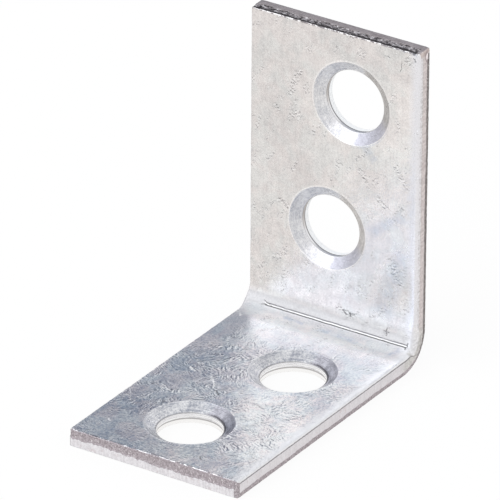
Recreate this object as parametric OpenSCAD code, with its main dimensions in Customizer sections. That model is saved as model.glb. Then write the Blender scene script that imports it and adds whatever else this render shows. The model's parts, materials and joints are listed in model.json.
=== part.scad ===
// Small angle bracket: a strip of sheet steel with two legs, bent once at a right angle, with two
// countersunk screw holes in each leg. The outside corner of the bend is the heel. The upright leg
// stands along +Z with its outside face towards +Y, the foot runs from the heel towards -Y, and the
// strip's width is along X. The bracket stands on the foot, with the origin under its middle.

/* [Strip] */
// Width of the strip
strip_w = 14.1; // [12:0.1:30]
// Thickness of the sheet
sheet_t = 1.35; // [1.1:0.05:2.5]
// Height of the upright leg, from under the foot to the top end
leg_up = 25; // [23.5:0.5:80]
// Length of the foot, from the back of the upright leg to the front end
leg_out = 24.6; // [23.5:0.1:80]
// Inside radius of the bend
bend_r = 1.5; // [0.8:0.1:2.5]

/* [Screw holes] */
// Bore of each screw hole
hole_d = 4.8; // [3:0.1:5.4]
// Width of the sloping ring that a countersink adds around its bore
csk_ring = 0.8; // [0.3:0.05:1]
// Included angle of the countersinks
csk_angle = 115; // [90:5:130]
// Distance from the end of a leg to the middle of its outer hole
end_gap = 5.45; // [4.2:0.05:6]
// Distance along a leg between the middles of its two holes
hole_pitch = 10.45; // [7.6:0.05:10.8]
// Sideways distance of each hole from the line that the four holes zigzag about
stagger = 0.96; // [0:0.02:1.6]
// Sideways place of that line, from the middle of the strip
zigzag_x = 0.46; // [-0.5:0.02:0.5]

/* [Sheared edges] */
// Radius of the rolled corner on the side where the shear blade entered
roll_r = 0.3; // [0.05:0.05:0.35]
// Thickness that broke away instead of being cut, along the two long edges
side_break = 0.36; // [0.1:0.02:0.6]
// Thickness that broke away instead of being cut, at the two ends
end_break = 0.66; // [0.1:0.02:0.7]
// How far a broken face falls back at its corner
break_back = 0.06; // [0.02:0.01:0.15]

/* [Marks of bending] */
// Swelling of each side face at the bend
swell = 0.12; // [0.05:0.01:0.25]
// Length of the line that the bending tool pressed along the inside of the bend
crease_len = 12; // [4:0.5:12]
// Sideways place of the middle of that line
crease_x = 0.6; // [-0.6:0.1:0.6]
// Width of that line
crease_w = 0.3; // [0.1:0.02:0.4]
// Depth of that line
crease_deep = 0.06; // [0.02:0.01:0.1]

/* [Hidden] */
$fn = 96;
// Margin by which a cutting shape reaches past the face that it cuts
over = 1;
// Outside radius of the bend
bend_out_r = bend_r + sheet_t;
// Depth of the sloping part of a countersink
csk_deep = csk_ring / tan(csk_angle / 2);
// Angle round the bend, from the foot, of its middle
bend_mid = 45;
// Radius, from the bend's axis, of the middle of the swelling
swell_at = bend_r + 0.45 * sheet_t;
// Radius of the ball that swells a side face over nine tenths of the sheet
swell_r = (pow(0.45 * sheet_t, 2) + pow(swell, 2)) / (2 * swell);
// Radius of the round bottom of the pressed line
crease_r = (pow(crease_w / 2, 2) + pow(crease_deep, 2)) / (2 * crease_deep);

// What shearing takes off a square-cut edge. The edge lies at x = 0 with the sheet on its left,
// from y = 0, where the blade entered and the corner is rolled, to y = sheet_t, where the last
// part, of the thickness broken, broke away.
module shear_loss(broken) {
    difference() {
        translate([-roll_r, -over]) square([roll_r + over, roll_r + over]);
        translate([-roll_r, roll_r]) circle(roll_r);
    }
    polygon([
        [0, sheet_t - broken],
        [over, sheet_t - broken],
        [over, sheet_t + over],
        [-break_back * (1 + over / broken), sheet_t + over]
    ]);
}

// Cross-section of the strip: x is across its width, y from the outside face to the inside face.
// The blade entered from the inside at the right edge and from the outside at the left edge.
module strip_section() {
    difference() {
        translate([-strip_w / 2, 0]) square([strip_w, sheet_t]);
        translate([strip_w / 2, sheet_t]) mirror([0, 1]) shear_loss(side_break);
        translate([-strip_w / 2, 0]) mirror([1, 0]) shear_loss(side_break);
    }
}

// Turns a drawing about the bend's axis, from the foot to the upright leg. In the drawing x is the
// distance from the axis and y is across the strip's width.
module round_the_bend() {
    translate([0, -bend_out_r, bend_out_r])
        rotate([0, 90, 0])
            rotate_extrude(angle = 90) children();
}

// Puts a piece at a distance from the bend's axis, in the middle of the bend. The piece's own z is
// then across the strip's width.
module in_the_bend(distance) {
    translate([0, -bend_out_r, bend_out_r])
        rotate([0, 90, 0])
            rotate([0, 0, bend_mid])
                translate([distance, 0, 0]) children();
}

module upright_leg() {
    translate([0, 0, bend_out_r])
        mirror([0, 1, 0])
            linear_extrude(leg_up - bend_out_r) strip_section();
}

module foot() {
    translate([0, -bend_out_r, 0])
        rotate([90, 0, 0])
            linear_extrude(leg_out - bend_out_r) strip_section();
}

module bend() {
    round_the_bend() translate([bend_out_r, 0]) rotate(90) strip_section();
}

// The side faces swell where the bend squeezes the metal sideways.
module swellings() {
    intersection() {
        for (side = [-1, 1])
            in_the_bend(swell_at)
                translate([0, 0, side * (strip_w / 2 + swell - swell_r)]) sphere(swell_r);
        round_the_bend() translate([bend_r, -strip_w / 2 - swell]) square([sheet_t, strip_w + 2 * swell]);
    }
}

// The shallow round-bottomed line along the inside of the bend
module crease() {
    in_the_bend(bend_r + crease_deep - crease_r)
        translate([0, 0, crease_x]) cylinder(h = crease_len, r = crease_r, center = true);
}

// What shearing takes off the end of a leg. The end lies in the plane x = 0 of the profile, and
// the blade entered from the outside face.
module end_loss() {
    linear_extrude(strip_w + 2 * (swell + over), center = true) shear_loss(end_break);
}

module top_end_loss() {
    translate([0, 0, leg_up]) rotate([0, -90, 0]) rotate([0, 0, 180]) mirror([1, 0, 0]) end_loss();
}

module front_end_loss() {
    translate([0, -leg_out, 0]) rotate([0, 0, -90]) rotate([90, 0, 0]) end_loss();
}

// One countersunk screw hole. It lies along z, with the sheet's outside face at z = 0.
module screw_hole() {
    slope = csk_ring / csk_deep;
    translate([0, 0, -over]) cylinder(h = sheet_t + 2 * over, d = hole_d);
    translate([0, 0, sheet_t - csk_deep])
        cylinder(h = csk_deep + over, r1 = hole_d / 2, r2 = hole_d / 2 + csk_ring + over * slope);
}

// Cuts the two holes of one leg. The leg lies along +y from the heel, outside face at z = 0, and
// side is the direction in which its outer hole is set off.
module leg_holes(leg_len, side) {
    translate([zigzag_x + side * stagger, leg_len - end_gap, 0]) screw_hole();
    translate([zigzag_x - side * stagger, leg_len - end_gap - hole_pitch, 0]) screw_hole();
}

module angle_bracket() {
    color("silver")
        translate([0, leg_out / 2, 0])
            difference() {
                union() {
                    upright_leg();
                    bend();
                    foot();
                    swellings();
                }
                crease();
                top_end_loss();
                front_end_loss();
                rotate([90, 0, 0]) leg_holes(leg_up, 1);
                mirror([0, 1, 0]) leg_holes(leg_out, -1);
            }
}

angle_bracket();
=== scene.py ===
"""Looks of the small angle bracket: one strip of zinc-coated sheet steel, sheared to size, bent once,
and with two countersunk screw holes in each leg.

The strip is modelled flat and then bent round. Flat coordinates, in millimetres:
    s  along the strip, from the top end of the upright leg to the front end of the foot
    x  across the strip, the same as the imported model's X
    t  through the sheet, from the outside face (0) to the inside face (SHEET)
"""
import json
import math

import bmesh
import bpy
import numpy as np
from mathutils import Matrix, Vector, noise
from mathutils.geometry import delaunay_2d_cdt


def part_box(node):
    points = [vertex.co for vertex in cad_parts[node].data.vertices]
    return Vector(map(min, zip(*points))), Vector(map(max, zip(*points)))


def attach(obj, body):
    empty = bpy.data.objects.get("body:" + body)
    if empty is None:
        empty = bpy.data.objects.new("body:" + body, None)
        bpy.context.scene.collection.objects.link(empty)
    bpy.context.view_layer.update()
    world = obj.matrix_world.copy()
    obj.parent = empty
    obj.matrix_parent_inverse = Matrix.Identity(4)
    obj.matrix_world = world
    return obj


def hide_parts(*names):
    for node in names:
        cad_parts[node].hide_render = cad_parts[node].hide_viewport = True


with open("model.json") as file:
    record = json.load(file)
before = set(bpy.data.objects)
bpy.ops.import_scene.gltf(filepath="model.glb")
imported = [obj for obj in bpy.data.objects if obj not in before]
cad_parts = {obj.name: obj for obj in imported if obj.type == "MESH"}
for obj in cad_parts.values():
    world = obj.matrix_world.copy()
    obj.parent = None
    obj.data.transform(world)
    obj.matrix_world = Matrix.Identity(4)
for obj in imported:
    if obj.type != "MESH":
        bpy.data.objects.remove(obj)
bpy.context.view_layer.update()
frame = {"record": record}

MM = 0.001

# ---------------- sizes, in millimetres
low, high = (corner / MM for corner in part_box("angle_bracket"))
LEG_OUT = high.y - low.y
LEG_UP = high.z - low.z
SWELL = 0.12  # how far each side face swells at the bend
STRIP_W = high.x - low.x - 2 * SWELL
HALF_W = STRIP_W / 2
SHEET = 1.35  # thickness of the sheet
BEND_IN = 1.5  # inside radius of the bend
BEND_OUT = BEND_IN + SHEET
ARC = (BEND_IN + BEND_OUT) / 2 * math.pi / 2  # length along the middle of the sheet in the bend
UP_FLAT = LEG_UP - BEND_OUT
OUT_FLAT = LEG_OUT - BEND_OUT
LENGTH = UP_FLAT + ARC + OUT_FLAT
MID_BEND = UP_FLAT + ARC / 2

# screw holes
BORE_R = 2.4
CSK_RING = 0.8  # width of the sloping ring round each bore
CSK_DEEP = 0.51  # depth of the sloping ring
RIM_R = BORE_R + CSK_RING
CONE_END = SHEET - CSK_DEEP
LAND_UP = 0.24  # length of the smooth part of the bore under the sloping ring, in the upright leg
LAND_FOOT = 0.42  # the same in the foot
LIP = 0.14  # width of the fine lip round each countersink
RIM_WAVE = 0.02  # how far the rim wanders in and out

# sheared edges
CORNER = 0.35  # radius of the strip's four corners, before they are pulled out
PULL_OUT = 0.75  # how far they are pulled out, from 0, round, to 1, square
ROLL_W = 0.42  # width of the rolled corner of the right edge, on the face
ROLL_DEEP = 0.17  # depth of that corner, on the edge
SMALL_ROLL_W = 0.14  # the same for the left edge and both ends
SMALL_ROLL_DEEP = 0.06
BENT_ROLL_DEEP = 0.72 * SHEET  # depth of the right edge's rolled corner where the bend has squeezed it
SQUEEZE_START = (-2.6, -0.4)  # where it starts to deepen and where it is deepest, past the bend's middle
SQUEEZE_END = (0.8, -0.1)  # where it is shallow again, and up to where it is deepest
SIDE_BREAK = 0.36  # thickness that broke away along the two long edges
END_BREAK = 0.72  # thickness that broke away at the two ends
BREAK_BACK = 0.012  # how far a broken face falls back at its corner
BURR_W = 0.11  # width of the burr along a broken corner
BURR_UP = 0.09  # height of the burr
FLAP_UP = 0.2  # height of the turned-up burr at the upright leg's right corner
FLAP_S = 0.1  # its distance from the top end
FLAP_IN = 0.3  # its distance from the right edge
FLAP_W = 0.35  # its width
TORN_R = 0.3  # reach of the front right corner, which broke through the whole sheet

# the line that the bending tool pressed along the inside of the bend
CREASE_LEN = 12
CREASE_X = 0.6
CREASE_HALF_W = 0.15
CREASE_DEEP = 0.06

# mesh
CELL = 0.1  # side of the smallest grid cell on the faces
EDGE_STEP = 0.08  # distance between points along the edges
HOLE_POINTS = 128
CAP_ROWS = 7  # rows of points round each corner of an edge
WALL_ROWS = 13  # rows of points between the two corners of an edge

random = np.random.default_rng(40)


# ---------------- helpers
def smooth_step(low_end, high_end, value):
    """0 below low_end, 1 above high_end, and an even curve between them."""
    u = np.clip((value - low_end) / (high_end - low_end), 0, 1)
    return u * u * (3 - 2 * u)


def ragged(count, spacing):
    """Random values from -1 to 1 along a closed line of points, changing over a number of points."""
    knots = random.uniform(-1, 1, max(3, round(count / spacing)))
    at = np.arange(count) * len(knots) / count
    left = at.astype(int)
    return knots[left] + (at - left) * (np.roll(knots, -1)[left] - knots[left])


def grain(places, size, offset=0.0):
    """Smooth random values, about -1 to 1, at points in millimetres."""
    shift = Vector((offset, offset, offset))
    return np.array([noise.noise(Vector(p) / size + shift) for p in places])


def bend_round(s, x, t):
    """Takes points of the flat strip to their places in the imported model, in metres."""
    turn = np.clip((s - UP_FLAT) / ARC, 0, 1) * math.pi / 2
    reach = BEND_OUT - t
    y = -BEND_OUT + reach * np.cos(turn) - np.maximum(s - UP_FLAT - ARC, 0)
    z = BEND_OUT - reach * np.sin(turn) + np.maximum(UP_FLAT - s, 0)
    return np.column_stack((x, y + LEG_OUT / 2, z)) * MM


def hole_middles():
    """Middles of the four screw holes on the flat strip, from the record's mounts."""
    middles = []
    for mount in frame["record"]["mounts"]:
        if mount["kind"] != "bore":
            continue
        x, y, z = (c / MM for c in mount["pos_m"])
        if mount["axis"][1]:
            s = LEG_UP - z
        else:
            s = UP_FLAT + ARC + LEG_OUT / 2 - BEND_OUT - y
        middles.append((s, x))
    return middles


def from_nearest_hole(s, x, t):
    """Place of each point from the middle of the hole nearest to it."""
    middles = np.array(hole_middles())
    gaps = np.column_stack((s, x))[:, None, :] - middles
    nearest = np.argmin(np.hypot(gaps[..., 0], gaps[..., 1]), axis=1)
    return np.column_stack((gaps[np.arange(len(s)), nearest], t))


# ---------------- the sheared edge
def outline():
    """Points round the flat strip, (s, x), and the outward direction at each."""
    half_s = LENGTH / 2 - CORNER
    half_x = HALF_W - CORNER
    arc_points = math.ceil(CORNER * math.pi / 2 / EDGE_STEP) + 2
    points, outward = [], []
    for quarter in range(4):
        angles = (quarter + np.linspace(0, 1, arc_points)) * math.pi / 2
        out = np.column_stack((np.cos(angles), np.sin(angles)))
        middle = np.sign((out[0] + out[-1])) * (half_s, half_x)
        arc = middle + CORNER * out
        run = 2 * (half_s if quarter % 2 == 0 else half_x)
        steps = np.linspace(0, run, round(run / EDGE_STEP) + 1)[1:-1, None]
        along = np.array((-out[-1][1], out[-1][0]))
        points += [arc, arc[-1] + steps * along]
        outward += [out, np.repeat(out[-1:], len(steps), axis=0)]
    return np.vstack(points) + (LENGTH / 2, 0), np.vstack(outward)


def rolled_corner(quarter, points, right, bent, wavy):
    """Inset and drop of the corner that the blade rolled, narrower at the strip's corners."""
    from_corner = np.maximum(
        np.minimum(points[:, 0], LENGTH - points[:, 0]),
        HALF_W - np.abs(points[:, 1]),
    )
    narrowed = 1 - 0.35 * smooth_step(3 * CORNER, CORNER, from_corner)
    wide = (SMALL_ROLL_W + (ROLL_W - SMALL_ROLL_W) * right) * (1 + 0.1 * wavy) * narrowed
    deep = SMALL_ROLL_DEEP + (ROLL_DEEP - SMALL_ROLL_DEEP) * right
    deep = deep + (BENT_ROLL_DEEP - deep) * bent * right
    return (1 - np.sin(quarter)) * wide, (1 - np.cos(quarter)) * deep


def burr_drop(across, points, ends, bent, jagged, rough):
    """Drop of the corner that broke away. It is negative where a burr stands up on the face."""
    strong = 0.25 + 0.75 * ends
    up = BURR_UP * np.clip(0.3 + 1.2 * jagged + 0.4 * rough, 0, 1) * (1 - bent) * strong
    from_flap = np.hypot(points[:, 0] - FLAP_S, points[:, 1] - HALF_W + FLAP_IN)
    up = up + FLAP_UP * np.exp(-((from_flap / FLAP_W) ** 2))
    return 0.05 * strong * across**4 * (1 + 0.9 * jagged) - np.sin(across * math.pi) ** 1.5 * up


def past_the_cut(depth, points, right, ends, wavy, jagged, rough):
    """How far each point lies past the line where the metal stopped being cut and broke."""
    far = 9  # keeps each line to the edges that it belongs to
    side_line = SIDE_BREAK * (1 + 0.22 * wavy)
    end_line = SHEET - (SIDE_BREAK + (END_BREAK - SIDE_BREAK) * ends) * (1 + 0.22 * jagged + 0.08 * rough)
    past = np.maximum(
        (side_line - depth) - far * (1 - right),
        (depth - end_line) - far * right,
    )
    from_front_right = np.hypot(points[:, 0] - LENGTH, points[:, 1] - HALF_W)
    return np.maximum(past, TORN_R - from_front_right)


def edge_rows(points, outward):
    """Depth t, inset and distance past the cut of each row of points, the inside face first.

    The right edge was cut from the inside: it is rolled there and broke away at the outside face.
    The left edge and both ends were cut from the outside, and have a burr at the inside face.
    """
    count = len(points)
    right = np.clip(outward[:, 1], 0, 1) ** 2
    ends = outward[:, 0] ** 2
    past_bend = points[:, 0] - MID_BEND
    bent = smooth_step(*SQUEEZE_START, past_bend) * smooth_step(*SQUEEZE_END, past_bend)
    wavy = 0.5 * ragged(count, 25) + 0.3 * ragged(count, 9) + 0.2 * ragged(count, 3)
    jagged = 0.4 * ragged(count, 30) + 0.3 * ragged(count, 11) + 0.3 * ragged(count, 4)
    rough = ragged(count, 2)

    quarter = np.linspace(0, math.pi / 2, CAP_ROWS)[:, None]
    across = np.linspace(0, 1, CAP_ROWS)[:, None]
    rolled_in, rolled_drop = rolled_corner(quarter, points, right, bent, wavy)
    broken_in = BREAK_BACK * (1 + 0.4 * rough)
    burred_in = broken_in + BURR_W * (1 - across)
    inner_in = right * rolled_in + (1 - right) * burred_in
    inner_drop = right * rolled_drop + (1 - right) * burr_drop(across, points, ends, bent, jagged, rough)
    outer_in = (1 - right) * rolled_in + right * (broken_in + 0.04 * (1 - across))
    outer_drop = (1 - right) * rolled_drop + right * (0.02 * (1 - np.cos(quarter)))

    from_inside = SHEET - inner_drop
    from_outside = outer_drop[::-1]
    share = np.linspace(0, 1, WALL_ROWS + 2)[1:-1, None]
    middle = from_inside[-1] + (from_outside[0] - from_inside[-1]) * share
    depth = np.vstack((from_inside, middle, from_outside))

    past = past_the_cut(depth, points, right, ends, wavy, jagged, rough)
    fallen = smooth_step(0.0, 0.05, past) * 0.012 + np.clip(past, 0, None) * 0.02
    inset = np.vstack((inner_in, np.zeros_like(middle), outer_in[::-1]))
    inset[CAP_ROWS:-CAP_ROWS] += fallen[CAP_ROWS:-CAP_ROWS]
    return depth, inset, past


# ---------------- the screw hole
def hole_profile(land_long):
    """Radius and depth of each ring of points down a hole: its lip, cone, smooth part and the rest."""
    lip = [
        (RIM_R + LIP, SHEET),
        (RIM_R + 0.08, SHEET + 0.01),
        (RIM_R + 0.04, SHEET + 0.022),
        (RIM_R, SHEET + 0.008),
    ]
    cone = [(RIM_R - CSK_RING * u, SHEET - CSK_DEEP * u) for u in np.linspace(0.03, 0.97, 8)]
    cut_end = CONE_END - land_long
    land = [
        (BORE_R, CONE_END - 0.015),
        (BORE_R, CONE_END - 0.06),
        (BORE_R, cut_end + 0.04),
        (BORE_R, cut_end),
        (BORE_R + 0.015, cut_end - 0.015),
        (BORE_R + 0.02, cut_end - 0.05),
    ]
    below = [(BORE_R + 0.02 + 0.03 * u, (cut_end - 0.05) * (1 - u)) for u in np.linspace(0.2, 0.92, 4)]
    exit_edge = [(BORE_R + 0.075, 0.012), (BORE_R + 0.12, 0)]
    return lip, cone, land, below + exit_edge


# ---------------- the two faces
def grid_points(holes, inset):
    """Points of the flat strip between its outline and the holes, closer together near both."""
    i, j = np.meshgrid(np.arange(1, int(LENGTH / CELL)), np.arange(1, int(STRIP_W / CELL)), indexing="ij")
    i, j = i.ravel(), j.ravel()
    s, x = i * CELL, j * CELL - HALF_W
    clear = np.minimum(
        np.minimum(s, LENGTH - s) - inset["end"],
        np.minimum(x + HALF_W - inset["left"], HALF_W - inset["right"] - x),
    )
    for (hole_s, hole_x), radius in holes:
        clear = np.minimum(clear, np.hypot(s - hole_s, x - hole_x) - radius)
    step = np.where(clear < 0.25, 1, np.where((clear < 0.8) | (np.abs(s - MID_BEND) < ARC / 2 + 0.4), 2, 4))
    keep = (clear > 0.06) & (i % step == 0) & (j % step == 0)
    return np.column_stack((s, x))[keep]


def crease_points():
    """Extra points along the pressed line."""
    across = np.linspace(-0.3, 0.3, 13)
    along = np.arange(-CREASE_LEN / 2 - 0.3, CREASE_LEN / 2 + 0.35, 0.12)
    s, x = np.meshgrid(MID_BEND + across, CREASE_X + along, indexing="ij")
    return np.column_stack((s.ravel(), x.ravel()))


def fill_face(loops, extra):
    """Triangles between an outer loop and hole loops. A loop is a list of (number, s, x)."""
    numbers, flat, edges = [], [], []
    for loop in loops:
        start = len(flat)
        numbers += [n for n, _, _ in loop]
        flat += [Vector((s, x)) for _, s, x in loop]
        edges += [(start + k, start + (k + 1) % len(loop)) for k in range(len(loop))]
    numbers += [n for n, _, _ in extra]
    flat += [Vector((s, x)) for _, s, x in extra]
    _, _, faces, origin, _, _ = delaunay_2d_cdt(flat, edges, [], 1, 1e-6)
    hole_of = {}
    for k, loop in enumerate(loops[1:]):
        hole_of.update((n, k) for n, _, _ in loop)
    triangles = []
    for face in faces:
        corners = [numbers[origin[v][0]] for v in face]
        rings = [hole_of.get(n, -1 - n) for n in corners]
        if rings[0] != rings[1] or rings[1] != rings[2]:
            triangles.append(corners)
    return triangles


# ---------------- marks on the faces
def crease_lift(s, x):
    """Height that the pressed line adds to the inside face: a groove between two low banks."""
    across = np.abs(s - MID_BEND) / CREASE_HALF_W
    along = np.abs(x - CREASE_X) - CREASE_LEN / 2
    groove = -CREASE_DEEP * np.sqrt(np.clip(1 - across**2, 0, 1))
    bank = 0.014 * np.exp(-((across - 1.35) / 0.3) ** 2)
    return (groove + bank) * smooth_step(0.1, -0.05, along)


def swelling(s, x, t):
    """How far a point moves sideways where the bend squeezes the metal out of the sides."""
    round_bend = smooth_step(1.9, 0.0, np.abs(s - MID_BEND))
    through = smooth_step(-0.4 * SHEET, 0.7 * SHEET, t)
    near_side = smooth_step(HALF_W - 1.3, HALF_W, np.abs(x))
    return np.sign(x) * SWELL * round_bend * through * near_side


def pull_corners(s, x):
    """Pulls the strip's four rounded corners out until they are nearly square."""
    out_s = np.clip(np.abs(s - LENGTH / 2) - (LENGTH / 2 - CORNER), 0, None)
    out_x = np.clip(np.abs(x) - (HALF_W - CORNER), 0, None)
    longest = np.maximum(np.maximum(out_s, out_x), 1e-9)
    stretch = PULL_OUT * np.maximum(np.hypot(out_s, out_x) / longest - 1, 0)
    return s + np.sign(s - LENGTH / 2) * out_s * stretch, x + np.sign(x) * out_x * stretch


# ---------------- the bracket
class Strip:
    """Collects the points (s, x, t) and the faces of the flat strip."""

    def __init__(self):
        self.points = []
        self.faces = []
        self.finish = []
        self.past = []

    def add_points(self, s, x, t, past=-1.0):
        start = len(self.points)
        block = np.column_stack(np.broadcast_arrays(s, x, t))
        self.points += block.tolist()
        self.past += np.broadcast_to(past, len(block)).tolist()
        return np.arange(start, start + len(block))

    def add_band(self, upper, lower, finish):
        """Joins two closed rows of points with a band of quads."""
        after_upper, after_lower = np.roll(upper, -1), np.roll(lower, -1)
        quads = np.column_stack((upper, lower, after_lower, after_upper))
        self.faces += quads.tolist()
        self.finish += np.broadcast_to(finish, len(quads)).tolist()

    def add_faces(self, faces, finish):
        self.faces += faces
        self.finish += [finish] * len(faces)


# the four finishes, in the order of the mesh's materials
ZINC, SHEARED, TURNED, BORED = range(4)


def add_edge(strip):
    """Adds the edge round the strip, and returns its first and last rows of points."""
    points, outward = outline()
    depth, inset, past = edge_rows(points, outward)
    rough = (0.010 + 0.012 * outward[:, 0] ** 2) * smooth_step(0, 0.1, past)
    rows = []
    for k in range(len(depth)):
        flat = points - outward * inset[k][:, None]
        spots = np.column_stack((flat, depth[k]))
        back = rough[k] * np.clip(1 + grain(spots, 0.12) + grain(spots, 0.3, 7.0), 0, None)
        flat = flat - outward * back[:, None]
        rows.append(strip.add_points(flat[:, 0], flat[:, 1], depth[k], past[k]))
    right = outward[:, 1] > 0.7
    for k, (upper, lower) in enumerate(zip(rows, rows[1:])):
        from_far_side = len(rows) - 2 - k
        rolled = k < CAP_ROWS - 1
        ridge = k < CAP_ROWS - 2
        far_rolled = from_far_side < CAP_ROWS - 1
        far_ridge = from_far_side < CAP_ROWS // 2
        coated = np.where(right, rolled or far_ridge, ridge or far_rolled)
        strip.add_band(upper, lower, np.where(coated, ZINC, SHEARED))
    return rows[0], rows[-1]


def add_hole(strip, middle):
    """Adds one countersunk hole, and returns its first and last rings of points."""
    angles = np.arange(HOLE_POINTS) * 2 * math.pi / HOLE_POINTS
    lip, cone, land, below = hole_profile(LAND_UP if middle[0] < MID_BEND else LAND_FOOT)
    wavy = 0.6 * ragged(HOLE_POINTS, 14) + 0.4 * ragged(HOLE_POINTS, 4)
    rows = []
    for radius, t in lip + cone + land + below:
        radius = radius + RIM_WAVE * wavy * smooth_step(BORE_R, RIM_R, radius) * (t > SHEET / 2)
        s = middle[0] + radius * np.cos(angles)
        x = middle[1] + radius * np.sin(angles)
        rows.append(strip.add_points(s, x, t))
    finishes = [ZINC] * (len(lip) - 1) + [TURNED] * len(cone) + [BORED] * (len(land) + len(below))
    for upper, lower, finish in zip(rows, rows[1:], finishes):
        strip.add_band(upper, lower, finish)
    return rows[0], rows[-1]


def add_skin(strip, outer, rings, t, radius, inset, extra=()):
    """Adds one face of the strip between the edge and the holes."""
    holes = [(middle, radius) for middle in hole_middles()]
    grid = grid_points(holes, inset)
    if len(extra):
        beside = np.abs(grid[:, 0] - MID_BEND) > 0.33
        beyond = np.abs(grid[:, 1] - CREASE_X) > CREASE_LEN / 2 + 0.4
        grid = np.vstack((grid[beside | beyond], extra))
    numbers = strip.add_points(grid[:, 0], grid[:, 1], t)
    loops = [[(n, *strip.points[n][:2]) for n in loop] for loop in (outer, *rings)]
    inside = [(n, *strip.points[n][:2]) for n in numbers]
    strip.add_faces(fill_face(loops, inside), ZINC)


def flat_strip():
    """The whole strip, flat and still without the marks on its faces."""
    strip = Strip()
    inner_loop, outer_loop = add_edge(strip)
    rings = [add_hole(strip, middle) for middle in hole_middles()]
    burr_inset = BREAK_BACK + BURR_W + 0.05
    roll_inset = SMALL_ROLL_W + 0.05
    inner = {"end": burr_inset, "left": burr_inset, "right": ROLL_W + 0.05}
    outer = {"end": roll_inset, "left": roll_inset, "right": burr_inset}
    add_skin(strip, inner_loop, [r[0] for r in rings], SHEET, RIM_R + LIP, inner, crease_points())
    add_skin(strip, outer_loop, [r[1] for r in rings], 0.0, BORE_R + 0.12, outer)
    return strip


def add_object(name, data):
    """A new object in the scene."""
    thing = bpy.data.objects.new(name, data)
    bpy.context.collection.objects.link(thing)
    return thing


def build_bracket():
    strip = flat_strip()
    s, x, t = np.array(strip.points).T
    s, x = pull_corners(s, x)
    on_inside = smooth_step(0.9 * SHEET, SHEET, t)
    t = t + on_inside * crease_lift(s, x)
    x = x + swelling(s, x, t)

    mesh = bpy.data.meshes.new("bracket_finish")
    mesh.from_pydata(bend_round(s, x, t).tolist(), [], strip.faces)
    mesh.attributes.new("past_break", "FLOAT", "POINT").data.foreach_set("value", strip.past)
    places = {"flat_place": np.column_stack((s, x, t)), "from_hole": from_nearest_hole(s, x, t)}
    for name, values in places.items():
        mesh.attributes.new(name, "FLOAT_VECTOR", "POINT").data.foreach_set("vector", values.ravel())
    mesh.polygons.foreach_set("material_index", strip.finish)
    mesh.polygons.foreach_set("use_smooth", [True] * len(mesh.polygons))
    solid = bmesh.new()
    solid.from_mesh(mesh)
    bmesh.ops.recalc_face_normals(solid, faces=solid.faces)
    solid.to_mesh(mesh)
    solid.free()
    piece = add_object("bracket_finish", mesh)
    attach(piece, "root")
    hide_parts("angle_bracket")
    return piece


# ---------------- short calls for shader nodes
class Nodes:
    """Adds nodes to a material or a world, and returns their outputs.

    Each value is an output or a plain value. A plain colour is three levels, or one for a grey.
    """

    def __init__(self, owner):
        owner.use_nodes = True
        self.owner = owner
        self.tree = owner.node_tree

    def put(self, value, socket):
        """Links an output to a socket, or sets the socket to a plain value."""
        if isinstance(value, bpy.types.NodeSocket):
            self.tree.links.new(value, socket)
        elif socket.type == "RGBA":
            socket.default_value = (*value, 1) if isinstance(value, tuple) else (value, value, value, 1)
        else:
            socket.default_value = value

    def add(self, kind, inputs, **settings):
        """A new node. Its inputs are given by name or by number."""
        node = self.tree.nodes.new("ShaderNode" + kind)
        for name, setting in settings.items():
            setattr(node, name, setting)
        for key, value in inputs.items():
            self.put(value, node.inputs[key])
        return node

    def maths(self, operation, *values):
        return self.add("Math", dict(enumerate(values)), operation=operation).outputs[0]

    def vector(self, operation, *values):
        node = self.add("VectorMath", dict(enumerate(values)), operation=operation)
        return node.outputs["Value" if operation in ("LENGTH", "DOT_PRODUCT") else "Vector"]

    def less(self, first, second):
        return self.maths("SUBTRACT", first, second)

    def product(self, first, *others):
        for other in others:
            first = self.maths("MULTIPLY", first, other)
        return first

    def most(self, first, *others):
        """The largest of a number of values."""
        for other in others:
            first = self.maths("MAXIMUM", first, other)
        return first

    def sum_of(self, *terms):
        """Sum of pairs of a value and its weight."""
        total = 0
        for value, weight in terms:
            total = self.maths("MULTIPLY_ADD", value, weight, total)
        return total

    def wavered(self, value, waves, amount):
        """A value moved up and down by a noise."""
        return self.maths("MULTIPLY_ADD", self.less(waves, 0.5), amount, value)

    def stretched(self, place, sizes):
        return self.vector("MULTIPLY", place, sizes)

    def split(self, place):
        return self.add("SeparateXYZ", {0: place}).outputs

    def span(self, value, low_end, high_end, to_low=0, to_high=1):
        """Takes values between low_end and high_end to values between to_low and to_high."""
        ends = {"From Min": low_end, "From Max": high_end, "To Min": to_low, "To Max": to_high}
        node = self.add("MapRange", {"Value": value, **ends}, interpolation_type="SMOOTHSTEP")
        return node.outputs["Result"]

    def near(self, value, middle, reach, core, beyond=0, within=1):
        """Goes from one value beyond reach of the middle to another within the core."""
        return self.span(self.maths("ABSOLUTE", self.less(value, middle)), reach, core, beyond, within)

    def line_at(self, value, level, half_width):
        """A contour line: 1 where a value is close to a level, and 0 away from it."""
        return self.near(value, level, half_width, 0.35 * half_width)

    def blend(self, factor, first, second, mode="MIX", keep_within=True):
        node = self.add("Mix", {}, data_type="RGBA", blend_type=mode, clamp_factor=keep_within)
        colours = [socket for socket in node.inputs if socket.type == "RGBA"]
        for value, socket in zip((factor, first, second), (node.inputs["Factor"], *colours)):
            self.put(value, socket)
        return node.outputs[2]

    def layers(self, colour, *rows):
        """Lays colours over a colour, one by one. A row is a share, a colour and, if not MIX, a mode."""
        for share, over, *mode in rows:
            colour = self.blend(share, colour, over, *mode)
        return colour


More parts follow.
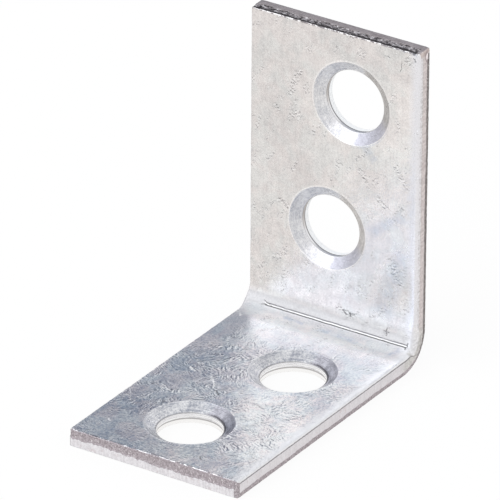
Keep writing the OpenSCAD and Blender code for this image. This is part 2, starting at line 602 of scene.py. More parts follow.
class Metal(Nodes):
    """The nodes of one finish of the sheet, with its place on the flat strip and the leg it is on."""

    def __init__(self, name, foot_from, foot_to):
        super().__init__(bpy.data.materials.new(name))
        self.place = self.attribute("flat_place", "Vector")
        self.along, self.across, self.through = self.split(self.place)
        self.on_foot = self.span(self.along, MID_BEND + foot_from, MID_BEND + foot_to)

    def attribute(self, name, output):
        return self.add("Attribute", {}, attribute_name=name).outputs[output]

    def noise(self, scale, detail=2, rough=0.5, twist=0, place=None, output="Fac"):
        """Smooth random values, at the own place if no other is given. Three scales stretch them."""
        place = self.place if place is None else place
        if isinstance(scale, tuple):
            place, scale = self.stretched(place, scale), 1
        inputs = {"Vector": place, "Scale": scale, "Detail": detail, "Roughness": rough, "Distortion": twist}
        return self.add("TexNoise", inputs).outputs[output]

    def legs(self, upright, foot):
        """One value on the upright leg and another on the foot."""
        return self.span(self.on_foot, 0, 1, upright, foot)

    def finish(self, colour, roughness, metallic, height, metres):
        """Fills the shader. A height of 1 stands up by so many metres."""
        raised = {"Strength": 1, "Distance": metres, "Height": height}
        shader = self.tree.nodes["Principled BSDF"]
        self.put(self.add("Bump", raised).outputs["Normal"], shader.inputs["Normal"])
        self.put(colour, shader.inputs["Base Color"])
        self.put(roughness, shader.inputs["Roughness"])
        self.put(metallic, shader.inputs["Metallic"])
        return self.owner


# ---------------- marks on the inside face
# each is s and x of its start, s and x of its end, and half of its width

# scratches and dents that stand out
DARK_MARKS = (
    (0.85, 4.2, 0.95, 4.6, 0.06), (1, 5.6, 1.8, 5.5, 0.04), (0.5, 6.6, 0.7, 6.7, 0.09),
    (22.1, 1, 22.4, 1.2, 0.14), (22.2, 1.5, 22.5, 1.6, 0.13), (22.55, 4.7, 23.35, 4.7, 0.08),
    (22.9, 4.5, 22.95, 4.9, 0.07), (23.5, 6.6, 24.2, 6.6, 0.1), (23.5, -5.6, 23.9, -4.9, 0.05),
    (24, -5.7, 23.7, -5, 0.05), (36.9, -1.6, 37.3, -1.1, 0.09), (45.7, 2.8, 45.9, 3.1, 0.09),
)
BRIGHT_MARKS = (
    (23.7, -5.7, 23.86, -5, 0.06), (35.3, -3, 36, -2.3, 0.11), (36, -2.3, 36.7, -1.9, 0.09),
    (34.9, -5.1, 35.2, -4.5, 0.12), (44.5, -5.6, 44.7, -5.4, 0.1), (26, -6.6, 26.3, -6.4, 0.1),
)
# groups of small pits that stand out
PITTED = (
    (4.1, -3, 5.9, -3.7, 0.4), (7.4, -4.9, 7.5, -4.8, 0.35), (7.4, -3.1, 7.7, -2.9, 0.4),
    (10.5, 2.2, 11, 2.7, 0.35), (9.5, 5.2, 10.9, 6.2, 0.3), (12.4, 3.9, 12.8, 4.3, 0.4),
    (12.5, 5.7, 12.9, 5.9, 0.3), (14.7, -4.5, 15.1, -3.8, 0.3), (17, 5, 18.6, 5.6, 0.6),
    (22, 0.6, 22.3, 1.7, 0.4),
)
# groups of short strokes that stand out
CRACKLED = (
    (31.1, -5.6, 31.6, -5.3, 0.55), (33.8, -4.9, 34.3, -4.5, 0.6), (33.1, -2.5, 33.6, -2.3, 0.5),
    (35.2, -3.3, 36.9, -1.4, 0.25), (36.8, -0.9, 38.1, -1.4, 0.45), (38.3, -5, 38.8, -4.8, 0.5),
    (35.1, -0.7, 35.4, -0.5, 0.45),
)
# soft bluish stains, and one painted shade: the mark from 41 to 42.4 along, beside the right rim of the
# foot's outer hole
STAINS_AND_SHADE = (
    (16.6, 5.8, 20.8, 4.4, 1.3), (13.4, 5.6, 15, 3.4, 0.7), (8.6, 2.6, 9.2, 3.2, 0.6),
    (29, 1.5, 30.5, 4.5, 1.2), (24.75, -3.3, 24.85, -2, 0.35), (24.9, -0.3, 25.1, 2.6, 0.55),
    (41, 2.95, 42.4, 2.95, 0.5), (24.6, 6.2, 25.3, 5.9, 0.5),
)


def mark(z, start_s, start_x, end_s, end_x, half_width, core):
    """1 along a mark with uneven outlines, and 0 around it."""
    start, end = Vector((start_s, start_x, 0)), Vector((end_s, end_x, 0))
    middle = (start + end) / 2
    way = (end - start).normalized()
    side = Vector((-way.y, way.x, 0))
    along = z.less(z.vector("DOT_PRODUCT", z.shaken, way), middle.dot(way))
    across = z.less(z.vector("DOT_PRODUCT", z.shaken, side), middle.dot(side))
    beyond = z.less(z.maths("ABSOLUTE", along), (end - start).length / 2)
    return z.span(z.most(beyond, z.maths("ABSOLUTE", across)), half_width, half_width * core)


def all_marks(z, marks, core=0.3):
    """The strongest of a number of marks. The core is the part of the width at full strength."""
    return z.product(z.most(*(mark(z, *each, core) for each in marks)), z.inside)


# ---------------- the zinc coating
class Zinc(Metal):
    """The nodes of the zinc coating, with the values that its parts share."""

    def __init__(self):
        super().__init__("zinc_sheet", -0.5, 1.5)
        self.inside = self.span(self.through, 0.6 * SHEET, 0.8 * SHEET)
        self.clouds = self.noise(1.5, 4, 0.65, 0.5)
        self.specks = self.noise(7.5, 2, 0.7)
        self.blotches = self.noise(0.45, 4, 0.6, 0.4)

        # crystals of the coating, a few millimetres wide, each with its own grain direction
        wobbled = self.shaken_by(0.8, 1.2, (0, 0, 0))
        crystals = self.add("TexVoronoi", {"Vector": wobbled, "Scale": 0.5})
        own, self.own_tint, _ = self.split(crystals.outputs["Color"])
        full_turn = 6.28
        self.grain_turn = self.product(own, full_turn)
        self.shaken = self.shaken_by(3.5, 0.3, (0.15, 0.15, 0.15))

        # the foot is rougher away from the bend, and more so in some places than in others
        self.away = self.span(self.along, MID_BEND + 2, MID_BEND + 7)
        patches = self.span(self.noise(0.4, 2, 0.6, 0.3), 0.38, 0.56, 0.4, 1.15)
        self.coarse = self.product(self.away, patches)

        # place beside a line from the heel's right to the front's left, where the foot's reflection of the
        # back wall ends, right of which the foot is painted paler
        self.beside = self.sum_of((self.along, -0.645), (1, 23.56), (self.across, 1))

    def shaken_by(self, scale, amount, middle):
        """A place that wavers."""
        waves = self.noise(scale, output="Color")
        moved = self.vector("SUBTRACT", self.stretched(waves, (amount, amount, amount)), middle)
        return self.vector("ADD", self.place, moved)

    def turned(self, angle):
        """The place turned about the sheet's thickness."""
        inputs = {"Vector": self.place, "Angle": angle}
        return self.add("VectorRotate", inputs, rotation_type="Z_AXIS").outputs[0]

    def relief(self, angle, sizes, step, rough, twist):
        """A noise turned to a grain, and how much it falls over a small step in the turned directions."""
        turned = self.turned(angle)
        ahead = self.vector("ADD", turned, step)
        here = self.noise(sizes, 3, rough, twist, turned)
        there = self.noise(sizes, 3, rough, twist, ahead)
        return here, self.less(here, there)

    def band(self, past_bend, reach, core, beyond=0, within=1):
        """A band across the strip, at a distance past the bend's middle."""
        return self.near(self.along, MID_BEND + past_bend, reach, core, beyond, within)


def upright_painted_light(z):
    """Painted light and shade on the upright leg: how much paler it is in some places, and how much darker
    in others.
    """
    right = z.product(z.span(z.across, -4, 1), z.span(z.along, 1.5, 5))
    right_edge = z.span(z.across, 3, 6.2)
    lower_left = z.product(z.span(z.across, -2, -5), z.span(z.along, 9, 18))
    above_bend = z.product(z.span(z.along, 19, 22.5), z.span(z.across, -6, 2, 0.25, 1))
    tones = z.sum_of((right, 0.27), (right_edge, 0.12), (lower_left, 0.12), (above_bend, -0.5))
    return z.product(tones, z.legs(1, 0))


def bend_painted_light(z):
    """Painted light and shade in paler and darker lines across the bend, with their weights."""
    return (
        (z.band(1.75, 1.8, 0.6), 0.24),
        (z.product(z.band(1.55, 0.8, 0.35), z.span(z.across, 5, 1)), 0.18),
        (z.product(z.band(-0.7, 0.6, 0.2), z.span(z.specks, 0.35, 0.6)), -0.2),
        (z.product(z.band(0.8, 1.3, 0.5), z.span(z.clouds, 0.4, 0.6)), -0.2),
        (z.band(2.7, 4.5, 2), -0.12),
    )


def foot_painted_light(z, front_left_shade):
    """Painted light and shade on the foot, with their weights: darker on its left and front left, paler at
    its back left and right of the line where its reflection of the back wall ends.
    """
    left = z.product(z.away, z.span(z.across, 2, -6))
    back_left = z.product(z.near(z.along, 29, 3, 1), z.span(z.across, -2, -4))
    front_right = z.product(z.span(z.along, 33, 41), z.span(z.beside, -0.5, 2))
    slanting = z.product(z.away, z.near(z.beside, 1.5, 2.5, 0.5))
    return (left, -0.3), (front_left_shade, -0.14), (back_left, 0.26), (front_right, 0.62), (slanting, 0.17)


def zinc_tone(z):
    """The coating's colour before its marks, in soft patches, with the painted light and shade of the legs
    and the bend.
    """
    rolling = z.noise((0.22, 4.5, 1), 3, 0.65)
    grit = z.less(z.span(z.noise(4.5, 3, 0.75), 0.35, 0.65), 0.5)
    patches = z.sum_of(
        (z.span(z.blotches, 0.35, 0.65), 0.26),
        (z.span(z.clouds, 0.3, 0.7), 0.32),
        (z.own_tint, z.span(z.away, 0, 1, 0.12, 0.3)),
        (z.away, -0.1),
        (z.span(rolling, 0.3, 0.7), 0.18),
        (z.span(z.specks, 0.32, 0.68), 0.38),
        (z.product(grit, z.away), 0.6),
        (1, -0.63),
    )
    calm = z.product(z.band(2.5, 5, 2.5, 1, 0.6), z.span(z.along, UP_FLAT - 6, UP_FLAT, 0.85, 1))
    # painted shade on the foot's front left, left of where its reflection of the back wall ends, and a
    # little warmer there
    front_left_shade = z.product(z.span(z.along, 37, 42), z.span(z.beside, 0.5, -3))
    shade = z.sum_of(
        (z.product(patches, calm), 1),
        (z.legs(0.4, 0.5), 1),
        (upright_painted_light(z), 1),
        *bend_painted_light(z),
        *foot_painted_light(z, front_left_shade),
    )
    dark = z.blend(z.on_foot, (0.62, 0.61, 0.61), (0.54, 0.57, 0.63))
    pale = z.blend(z.on_foot, (0.93, 0.92, 0.905), (0.97, 0.955, 0.93))
    hue = z.span(z.noise(0.55, 3, 0.6, 0.5), 0.38, 0.62)
    tint = z.blend(hue, (0.93, 0.975, 1), (1, 0.95, 0.965))
    tinted = z.sum_of((1, 0.4), (z.on_foot, 0.1), (z.away, 0.45))
    # real stains, with painted shade beside the foot's outer hole
    stained_and_shaded = z.product(all_marks(z, STAINS_AND_SHADE, 0.1), z.span(z.clouds, 0.35, 0.6, 0.3, 0.9), 0.9)
    return z.layers(
        z.blend(shade, dark, pale, keep_within=False),
        (tinted, tint, "MULTIPLY"),
        (front_left_shade, (1, 0.985, 0.965), "MULTIPLY"),
        (stained_and_shaded, (0.77, 0.82, 0.9), "MULTIPLY"),
    )


def stroke_set(z, sizes, step, full, share):
    """Strokes of one size: their painted highlights, their painted shade, and their height. A fall of full
    lights one fully.
    """
    height, fall = z.relief(z.grain_turn, sizes, (0.03, step, 0), 0.66, 1.5)
    lit = z.product(z.span(fall, 0.055, full), share)
    shaded = z.product(z.span(fall, -0.045, 0.01 - full), share)
    return lit, shaded, height


def zinc_strokes(z):
    """Strokes of the foot's rough coating: their painted highlights, their painted shade, and their height.
    """
    left = z.span(z.across, -6.4, -4.2, 0.3, 1)
    corner = z.product(z.span(z.along, 40, 43.5), z.span(z.beside, 0, -3))
    clusters = z.span(z.noise(0.9, 3, 0.6, 0.5), 0.43, 0.55, 0.08, 1)
    own_share = z.span(z.own_tint, 0.15, 0.5, 0.5, 1)
    long_share = z.product(z.coarse, left, z.span(corner, 0, 1, 1, 0.4), own_share, clusters)
    short_share = z.product(
        z.span(z.coarse, 0, 1, 0.1, 0.85),
        z.span(corner, 0, 1, 1, 0.6),
        z.span(clusters, 0, 1, 0.3, 1),
    )
    short_share = z.most(short_share, all_marks(z, CRACKLED, 0.2))
    long_lit, long_shaded, long_height = stroke_set(z, (0.9, 2.5, 1), 0.12, 0.115, long_share)
    short_lit, short_shaded, short_height = stroke_set(z, (2.2, 3.6, 1), 0.1, 0.11, short_share)
    height = z.sum_of((long_height, 1), (short_height, 0.6))
    return z.most(long_lit, short_lit), z.most(long_shaded, short_shaded), height


def zinc_pits(z):
    """Groups of tiny pits: their painted highlights and their painted shade."""
    patches = z.noise((0.6, 1.4, 1), 3, 0.6, 0, z.turned(0.5))
    grouped = z.most(z.product(z.span(patches, 0.575, 0.64), 0.75), all_marks(z, PITTED))
    _, fall = z.relief(0.4, (5.5, 6, 1), (0.06, 0.02, 0), 0.6, 0)
    return z.product(z.span(fall, 0.05, 0.11), grouped), z.product(z.span(fall, -0.05, -0.1), grouped)


def crease_colour(z, colour):
    """The pressed line: a painted highlight along its bottom, a faint painted shade line above it and a
    strong one below it.
    """
    broken_up = z.noise((2, 1.2, 1), 3, 0.7)
    drift = z.noise((0, 0.9, 0), 3, 0.6)
    side = z.less(z.along, z.wavered(MID_BEND, drift, 0.18))
    within = z.near(z.across, CREASE_X, CREASE_LEN / 2 + 0.03, CREASE_LEN / 2 - 0.03)

    def line(level, half_width, *gaps):
        return z.product(z.line_at(side, level, half_width), within, z.span(broken_up, *gaps))

    bottom = line(-0.02, 0.09, 0.36, 0.54, 0.3, 0.95)
    colour = z.layers(
        colour,
        (line(-0.15, 0.07, 0.35, 0.55, 0.35, 0.85), (0.2, 0.2, 0.21)),
        (bottom, (0.93, 0.93, 0.94)),
        (line(0.12, 0.08, 0.3, 0.5, 0.55, 0.95), (0.07, 0.07, 0.075)),
    )
    return colour, bottom


def burnished_edge(z, colour):
    """The rolled edge, which the blade rubbed smooth, and painted shade across the bend that darkens the
    lamp's reflection there.
    """
    roll_starts = HALF_W - ROLL_W
    burnished = z.span(z.wavered(z.across, z.clouds, 0.9), roll_starts - 0.6, roll_starts + 0.25)
    polish = z.blend(z.on_foot, (0.84, 0.85, 0.895), (0.855, 0.86, 0.88))
    polish = z.blend(z.span(z.specks, 0.3, 0.5, 0.45, 0), polish, (0.68, 0.69, 0.72))
    colour = z.blend(burnished, colour, polish)
    # painted shade across the bend
    bend_shade = z.product(z.band(-0.38, 0.8, 0.45), z.span(burnished, 0, 1, 1, 0.3), 0.9)
    return z.blend(bend_shade, colour, z.blend(z.specks, (0.4, 0.4, 0.415), (0.68, 0.68, 0.69)))


def squeezed_corner(z, colour):
    """The right end of the bend, squeezed and mottled grey, with painted shade that makes its side darker
    and evens out its reflection.
    """
    squeezed = z.product(
        z.span(z.across, HALF_W - 0.3, HALF_W - 0.05),
        z.span(z.along, MID_BEND - 2.6, MID_BEND - 1.6),
        z.span(z.along, MID_BEND + 1, MID_BEND + 0.6),
    )
    mottle = z.span(z.noise(5, 3, 0.7), 0.35, 0.65)
    grey = z.blend(mottle, (0.72, 0.72, 0.74), (0.94, 0.94, 0.96))
    on_edge = z.span(z.through, SHEET - 0.4, SHEET - 0.7)
    side = z.most(on_edge, z.span(z.along, MID_BEND + 0.4, MID_BEND + 0.7))
    grey = z.blend(z.product(side, 0.85), grey, z.blend(mottle, (0.42, 0.41, 0.4), (0.64, 0.63, 0.61)))
    return z.blend(z.product(squeezed, 0.9), colour, grey)


def end_burrs(z, colour):
    """The burrs along both ends: bright flecks that are painted highlights, with painted shade in the gaps
    between them.
    """
    from_end = z.maths("MINIMUM", z.along, z.less(LENGTH, z.along))
    burr = z.product(z.span(from_end, 0.19, 0.12), z.inside)
    chips = z.noise(3.2, 3, 0.75)
    bright = z.product(burr, z.span(chips, z.legs(0.5, 0.54), 0.6))
    colour = z.blend(z.product(burr, z.span(chips, 0.54, 0.46), 0.9), colour, (0.22, 0.2, 0.22))
    return z.blend(bright, colour, (0.97, 0.96, 0.97)), bright


def countersink_rim_highlight(z, colour):
    """A painted highlight along the rim of each countersink, clearest on its left."""
    from_hole = z.stretched(z.attribute("from_hole", "Vector"), (1, 1, 0))
    _, sideways, _ = z.split(z.vector("NORMALIZE", from_hole))
    rim = z.line_at(z.vector("LENGTH", from_hole), RIM_R + 0.06, 0.09)
    rim = z.product(rim, z.span(z.specks, 0.35, 0.5, 0.3, 0.8), z.span(sideways, 0.3, -0.5, 0.15, 0.6))
    return z.blend(rim, colour, (0.98, 0.98, 0.99))


def zinc_sheet():
    z = Zinc()
    lit, shaded, height = zinc_strokes(z)
    pits_lit, pits_shaded = zinc_pits(z)
    colour = z.layers(
        zinc_tone(z),
        # painted shade and painted highlights on the strokes and pits
        (z.product(shaded, 0.95), (0.3, 0.32, 0.38), "MULTIPLY"),
        (z.product(lit, 0.9), 0.97),
        (z.product(pits_shaded, 0.9), (0.38, 0.38, 0.39), "MULTIPLY"),
        (z.product(pits_lit, 0.7), 0.97),
    )
    colour = squeezed_corner(z, burnished_edge(z, countersink_rim_highlight(z, colour)))
    colour, crease_highlight = crease_colour(z, colour)
    colour, flecks = end_burrs(z, colour)

    seen = z.span(z.specks, 0.38, 0.55, 0.3, 1)
    dents = z.product(all_marks(z, DARK_MARKS), seen)
    scratches = z.product(all_marks(z, BRIGHT_MARKS), seen)
    colour = z.blend(z.product(dents, 0.85), colour, (0.12, 0.12, 0.125))
    colour = z.blend(z.product(scratches, 0.9), colour, 0.99)
    colour = z.vector("MINIMUM", colour, (1, 1, 1))

    rough = z.sum_of((z.blotches, 0.16), (1, 0.18), (z.away, 0.12), (z.band(0.3, 2.3, 1.3), 0.26))
    # painted highlights (lit strokes and pits, the burrs' flecks, the crease's bottom) and real scratches
    # are made white and less metallic, and so look white from every side
    scratches_and_highlights = z.most(
        z.product(lit, 0.5),
        z.product(pits_lit, 0.35),
        z.product(z.most(scratches, flecks), 0.6),
        z.product(crease_highlight, 0.3),
    )
    height = z.product(height, z.span(z.coarse, 0, 1, 0.8, 4))
    height = z.sum_of((height, 1), (pits_shaded, -0.8), (dents, -0.8), (scratches, 0.8))
    return z.finish(colour, rough, z.less(1, scratches_and_highlights), height, 0.016 * MM)


# ---------------- the sheared edges
class Sheared(Metal):
    """The nodes of the sheared edges, with the values that their parts share."""

    def __init__(self):
        super().__init__("sheared_edge", -1, 1)
        self.on_top = self.span(self.along, 0.6, 0.3)
        self.on_right = self.span(self.across, HALF_W - 0.4, HALF_W - 0.25)
        self.speckle = self.noise(7, 4, 0.75)
        self.jagged = self.wavered(self.attribute("past_break", "Fac"), self.speckle, 0.24)
        self.streaks = self.noise((7, 7, 0.6), 3, 0.6)
        self.grains = self.noise(6.5, 3, 0.7)
        self.mottle = self.span(self.sum_of((self.streaks, 0.4), (self.grains, 0.6)), 0.38, 0.62)

    def mottled(self, dark, pale):
        return self.blend(self.mottle, dark, pale)


def cut_metal(n):
    """The part that the blade cut: rubbed smooth, and stained. On the upright it is painted darker than on
    the foot, as shade for the bracket's shadow that the upright's sides reflect.
    """
    outer_half = n.product(n.span(n.through, 1, 0.7), n.on_right)
    inner_half = n.product(n.span(n.sum_of((n.grains, 0.3), (n.through, 1)), 0.95, 1.15), n.on_right)
    lengthwise = n.span(n.noise((1, 0.8, 9), 3, 0.65), 0.35, 0.65)
    rubbed = n.sum_of((n.mottle, 0.4), (lengthwise, 0.6))
    # painted shade: the upright's edges are darker than the foot's
    dull = n.layers(
        n.mottled((0.45, 0.435, 0.435), (0.65, 0.635, 0.635)),
        (outer_half, n.mottled((0.53, 0.485, 0.49), (0.76, 0.705, 0.71))),
        (inner_half, n.mottled((0.6, 0.6, 0.63), (0.88, 0.88, 0.92))),
        (n.product(n.on_top, 0.9), n.blend(rubbed, (0.4, 0.34, 0.33), (0.72, 0.64, 0.62))),
    )
    bright = n.mottled((0.72, 0.715, 0.76), (0.9, 0.9, 0.95))
    bright = n.blend(n.product(n.on_right, 0.35), bright, (0.6, 0.58, 0.61))
    stains = n.span(n.noise(1.6, 3, 0.6), 0.58, 0.75, 0, 0.5)
    at_bend = n.product(n.near(n.along, MID_BEND, 2.4, 1.2), n.on_right, 0.8)
    return n.layers(
        n.blend(n.on_foot, dull, bright),
        (stains, (0.6, 0.5, 0.52)),
        (at_bend, n.mottled((0.5, 0.5, 0.49), (0.74, 0.74, 0.73))),
    )


def roll_line(n, colour):
    """The thin dark line where the rolled corner of the right edge ends."""
    past_bend = n.less(n.along, MID_BEND)
    bent = n.product(n.span(past_bend, *SQUEEZE_START), n.span(past_bend, *SQUEEZE_END))
    depth = n.sum_of((n.wavered(n.through, n.grains, 0.16), 1), (bent, BENT_ROLL_DEEP - ROLL_DEEP))
    line = n.line_at(depth, SHEET - ROLL_DEEP - 0.06, 0.07)
    strength = n.product(n.on_right, n.span(past_bend, -1.2, 0.8, 0, 0.9), n.legs(0.25, 1))
    return n.blend(n.product(line, strength), colour, (0.16, 0.16, 0.18))


def torn_metal(n):
    """The part that broke away: torn, with bright flecks that are painted highlights and deep painted
    shadows. The upright's right edge and the top end are painted darker as shade, and the top end's shreds
    get painted highlights.
    """
    rubble = n.span(n.speckle, 0.32, 0.68)
    up_right = n.product(n.on_right, n.less(1, n.on_foot))
    shreds = n.noise((3, 2.4, 7.5), 3, 0.7, 0.4)
    fleck_level = n.span(n.on_top, 0, 1, 0.62, 0.57)
    flecks = n.span(n.noise(9, 2, 0.6), fleck_level, 0.66, 0, 0.8)
    # painted shadow in the deepest breaks of the top end
    deep = n.product(n.span(n.jagged, 0.5 * END_BREAK, 0.75 * END_BREAK), n.on_top, 0.9)
    return n.layers(
        n.blend(rubble, (0.28, 0.25, 0.27), (0.57, 0.52, 0.56)),
        (up_right, n.blend(rubble, (0.1, 0.09, 0.09), (0.36, 0.33, 0.33))),
        (n.on_top, n.blend(n.span(shreds, 0.4, 0.6), (0.05, 0.042, 0.045), (0.58, 0.53, 0.54))),
        (n.product(n.on_top, n.span(shreds, 0.57, 0.63)), (0.97, 0.95, 0.96)),
        (flecks, (0.88, 0.87, 0.88)),
        (deep, (0.035, 0.03, 0.032)),
    )


def top_curl(n, colour):
    """The end of the right edge at the top, where a curl of metal turned over."""
    from_curl = n.stretched(n.vector("SUBTRACT", n.place, (0.55, HALF_W, 0.35)), (1, 0, 1.6))
    curl = n.wavered(n.vector("LENGTH", from_curl), n.grains, 0.3)
    ring = n.product(n.on_right, n.line_at(curl, 0.38, 0.12), n.span(n.through, 0.2, 0.4))
    core = n.product(n.on_right, n.span(curl, 0.27, 0.2))
    return n.layers(colour, (core, (0.95, 0.9, 0.93)), (n.product(ring, 0.75), (0.3, 0.25, 0.27)))


def sheared_edge():
    n = Sheared()
    broken = n.span(n.jagged, -0.008, 0.008)
    colour = n.blend(broken, roll_line(n, cut_metal(n)), torn_metal(n))
    rough = n.span(broken, 0, 1, 0.3, 0.5)
    height = n.sum_of((n.streaks, 0.4), (n.product(n.speckle, broken), 4))
    return n.finish(top_curl(n, colour), rough, 1, height, 0.008 * MM)


# ---------------- the countersinks and the bores
class Hole(Metal):
    """The nodes of a finish inside the screw holes, with its place taken from the middle of the hole."""

    def __init__(self, name):
        super().__init__(name, 0, 1)
        self.place = self.attribute("from_hole", "Vector")
        self.around = self.vector("NORMALIZE", self.stretched(self.place, (1, 1, 0)))
        self.down, self.sideways, _ = self.split(self.around)


def cone_shaded_side(n, smears):
    """1 on the side of each cone that is painted in shade: the right of the upright's holes, and the back
    right of the foot's.
    """
    shaded_side = n.sum_of(
        (n.sideways, n.legs(0.98, 0.77)),
        (n.down, n.legs(0.12, -0.64)),
        (n.less(smears, 0.5), 0.4),
        (n.legs(0.2, 0.62), -1),
    )
    return n.span(shaded_side, -0.05, 0.12)


def cone_shade_colour(n, shade):
    """Painted shade colour of the cone's shaded side, warm on the right of the upright's holes and cool at
    their bottom.
    """
    warm = n.blend(shade, (0.3, 0.285, 0.275), (0.79, 0.77, 0.75))
    outer_hole = n.span(n.along, 13, 8)
    warm = n.blend(outer_hole, warm, 0.84, "MULTIPLY")
    cool = n.blend(shade, (0.28, 0.28, 0.32), (0.72, 0.72, 0.8))
    foot_side = n.blend(shade, (0.33, 0.325, 0.37), (0.76, 0.76, 0.83))
    return n.blend(n.on_foot, n.blend(n.span(n.down, 0.2, 0.6), warm, cool), foot_side)


def cone_end_line(n, chatter, colour):
    """The line at the cone's end: pale in the upright, and dark and strongest at the foot's back right."""
    strong = n.product(n.on_foot, n.span(n.less(n.sideways, n.down), 0.6, 1.3))
    scraped = n.sum_of((chatter, 0.12), (strong, -0.06), (n.through, 1))
    line = n.product(n.span(scraped, CONE_END + 0.11, CONE_END + 0.07), n.span(strong, 0, 1, 0.35, 0.95))
    return n.blend(line, colour, n.blend(n.on_foot, (0.97, 0.97, 0.99), (0.12, 0.115, 0.13)))


def turned_cone():
    n = Hole("turned_cone")
    # marks of the turning tool, grains and smears
    round_marks = n.stretched(n.around, (9, 9, 0))
    round_marks = n.vector("ADD", round_marks, n.stretched(n.place, (0.3, 0.3, 5)))
    chatter = n.noise(1.6, 4, 0.7, place=round_marks)
    grains = n.noise(8, 2, 0.7)
    smears = n.noise(1.1, 3, 0.6)
    rings = n.noise((0.6, 0.6, 24))
    marks = n.sum_of(
        (n.span(smears, 0.35, 0.65), 0.3),
        (n.span(chatter, 0.3, 0.7), 0.4),
        (n.span(grains, 0.3, 0.7), 0.45),
        (n.span(rings, 0.35, 0.65), 0.3),
        (1, -0.72),
    )
    # painted shade on the far side of the foot's holes, and painted light on the upper side of the upright's
    far = n.product(n.span(n.down, 0.1, -0.7), n.legs(0.04, -0.22))
    shade = n.sum_of((marks, n.legs(0.55, 0.9)), (far, 1), (1, 0.56))
    shaded_side = cone_shaded_side(n, smears)
    # painted shade at the bottom of the upright's holes
    low_painted_shade = n.product(n.span(n.down, 0.3, 0.8), n.legs(1, 0))
    # painted shade: the outer hole of the foot is darker towards the front
    front = n.product(n.span(n.down, 0.4, 0.95), n.span(n.sideways, -0.7, -0.2, 0.4, 1))
    colour = n.layers(
        n.blend(shade, (0.34, 0.36, 0.42), 1),
        (shaded_side, cone_shade_colour(n, shade)),
        (low_painted_shade, n.blend(shaded_side, (0.92, 0.905, 0.9), 0.8), "MULTIPLY"),
        (n.product(front, n.span(n.along, 34, 38)), (0.66, 0.665, 0.67), "MULTIPLY"),
    )
    colour = cone_end_line(n, chatter, colour)
    height = n.sum_of((grains, 1.2), (rings, 0.6))
    return n.finish(colour, n.span(rings, 0.3, 0.7, 0.26, 0.4), 1, height, 0.016 * MM)


def bored_wall():
    n = Hole("bored_wall")
    past = n.less(n.through, n.legs(CONE_END - LAND_UP, CONE_END - LAND_FOOT))
    below = n.span(past, 0.02, -0.02)

    # smooth land under the cone, with fine lines round it, and bright metal under the land
    lines = n.noise((0.6, 0.6, 20), 3, 0.6)
    foot_land = n.blend(n.span(lines, 0.35, 0.65), (0.86, 0.875, 0.93), (0.96, 0.98, 1))
    upright_land = n.blend(n.span(n.down, -0.2, 0.5), (0.48, 0.46, 0.45), (0.8, 0.8, 0.82))

    # dark line where the land ends, and a fainter one at its top
    end_line = n.product(n.line_at(n.wavered(past, lines, 0.08), -0.03, 0.09), n.legs(0.9, 0.6))
    top_line = n.span(n.sum_of((lines, 0.05), (n.through, 1)), CONE_END - 0.03, CONE_END)
    colour = n.layers(
        n.blend(n.on_foot, upright_land, foot_land),
        (n.product(n.line_at(lines, 0.42, 0.05), n.legs(0.2, 0.5)), (0.25, 0.23, 0.24)),
        (below, (0.97, 0.985, 1)),
        (n.most(end_line, n.product(top_line, n.legs(0.2, 0.6))), (0.13, 0.12, 0.125)),
    )

    # the rest of the upright leg's bores is dull, and looks white from every side
    dull = n.product(below, n.legs(0.85, 0))
    rough = n.span(dull, 0, 1, n.span(below, 0, 1, 0.25, 0.12), 0.6)
    return n.finish(colour, rough, n.less(1, dull), lines, 0.003 * MM)


# ---------------- camera
def direction(azimuth, elevation):
    """The way out from the object at two angles in degrees. Azimuth 0 is the front, 90 the right."""
    a, e = math.radians(azimuth), math.radians(elevation)
    return Vector((math.sin(a) * math.cos(e), -math.cos(a) * math.cos(e), math.sin(e)))


def place_camera():
    """The photograph's view: a long lens, from the front right and above."""
    azimuth, elevation = 32.853, 27.358
    roll = math.radians(0.361)
    distance = 603.5
    aim_right, aim_down = 0.119, 0.172
    back = direction(azimuth, elevation)
    level_right = direction(azimuth + 90, 0)
    level_up = back.cross(level_right)
    right = level_right * math.cos(roll) + level_up * math.sin(roll)
    up = level_up * math.cos(roll) - level_right * math.sin(roll)
    aim = Vector((0, -0.2, LEG_UP / 2)) + right * aim_right - up * aim_down
    camera = add_object("camera", bpy.data.cameras.new("camera"))
    camera.data.sensor_width = 36
    camera.data.lens = 617.7
    camera.data.clip_start = 0.05
    camera.data.clip_end = 10
    turn = Matrix((right, up, back)).transposed()
    camera.matrix_world = Matrix.Translation((aim + back * distance) * MM) @ turn.to_4x4()
    bpy.context.scene.camera = camera


# ---------------- studio, in metres
def seen_plainly(n):
    """1 for rays from the camera and for rays that metal or glass sends on, 0 for light on surfaces."""
    path = n.add("LightPath", {}).outputs
    return n.most(path["Is Camera Ray"], path["Is Glossy Ray"], path["Is Transmission Ray"])


def add_floor():
    """Pale floor: white to the camera and in reflections, with some plain paint that takes the shadow."""
    n = Nodes(bpy.data.materials.new("pale_floor"))
    paint = n.tree.nodes["Principled BSDF"]
    n.put(0.97, paint.inputs["Base Color"])
    n.put(0.9, paint.inputs["Roughness"])
    from_camera = n.add("LightPath", {}).outputs["Is Camera Ray"]
    glow = n.add("Emission", {"Color": n.blend(from_camera, (0.96, 0.93, 0.9), 1)})
    share = n.product(seen_plainly(n), 0.9)
    mix = n.add("MixShader", {"Fac": share, 1: paint.outputs[0], 2: glow.outputs[0]})
    n.put(mix.outputs[0], n.tree.nodes["Material Output"].inputs["Surface"])
    mesh = bpy.data.meshes.new("floor")
    reach = 3
    corners = [(-reach, -reach, 0), (reach, -reach, 0), (reach, reach, 0), (-reach, reach, 0)]
    mesh.from_pydata(corners, [], [(0, 1, 2, 3)])
    mesh.materials.append(n.owner)
    plane = add_object("floor", mesh)


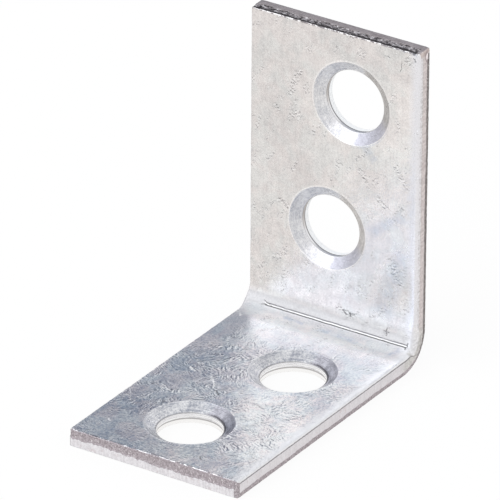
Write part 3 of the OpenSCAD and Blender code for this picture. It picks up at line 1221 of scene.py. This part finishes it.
def add_back_wall():
    """A curved wall behind and to the left, dark at the bottom, that only the metal's reflections show. It
    glows with its own painted shades instead of taking light.
    """
    radius, columns, rows = 0.5, 24, 12
    turns = np.linspace(-195, -100, columns)
    heights = np.linspace(1, 66, rows)
    faces = [
        (k, k + 1, k + 1 + columns, k + columns)
        for row in range(rows - 1)
        for k in range(row * columns, row * columns + columns - 1)
    ]
    mesh = bpy.data.meshes.new("back_wall")
    mesh.from_pydata([direction(a, e) * radius for e in heights for a in turns], [], faces)
    n = Nodes(bpy.data.materials.new("back_wall"))
    place = n.add("TexCoord", {}).outputs["Generated"]
    shade = n.add("ValToRGB", {"Fac": n.split(place)["Z"]})
    stops = shade.color_ramp.elements
    stops[0].color = (0.28, 0.3, 0.35, 1)
    stops[1].color = (0.86, 0.87, 0.9, 1)
    stops.new(0.5).color = (0.45, 0.475, 0.53, 1)
    glow = n.add("Emission", {"Color": shade.outputs["Color"]})
    n.put(glow.outputs[0], n.tree.nodes["Material Output"].inputs["Surface"])
    mesh.materials.append(n.owner)
    wall = add_object("back_wall", mesh)
    wall.visible_camera = False
    wall.visible_diffuse = False
    wall.visible_shadow = False


def add_key_lamp():
    """An even lamp in front, on the left. Brightness 1 looks as bright as white paper."""
    width, height, brightness = 0.8, 0.6, 0.95
    distance = 0.6
    data = bpy.data.lights.new("front_key", "AREA")
    data.shape = "RECTANGLE"
    data.size, data.size_y = width, height
    data.energy = brightness * math.pi * width * height
    data.color = (0.97, 0.995, 1.05)
    lamp = add_object("front_key", data)
    away = direction(-33, 32)
    middle = Vector((0, 0, LEG_UP / 2 * MM))
    facing = away.to_track_quat("Z", "Y").to_matrix().to_4x4()
    lamp.matrix_world = Matrix.Translation(middle + away * distance) @ facing


def light_world():
    n = Nodes(bpy.data.worlds.new("studio"))
    background = n.tree.nodes["Background"]
    n.put(1, background.inputs["Color"])
    n.put(n.span(seen_plainly(n), 0, 1, 0.9, 1), background.inputs["Strength"])
    bpy.context.scene.world = n.owner


bracket = build_bracket()
for metal in (zinc_sheet(), sheared_edge(), turned_cone(), bored_wall()):
    bracket.data.materials.append(metal)
place_camera()
add_floor()
light_world()
add_back_wall()
add_key_lamp()
bpy.context.scene.view_settings.view_transform = "Standard"
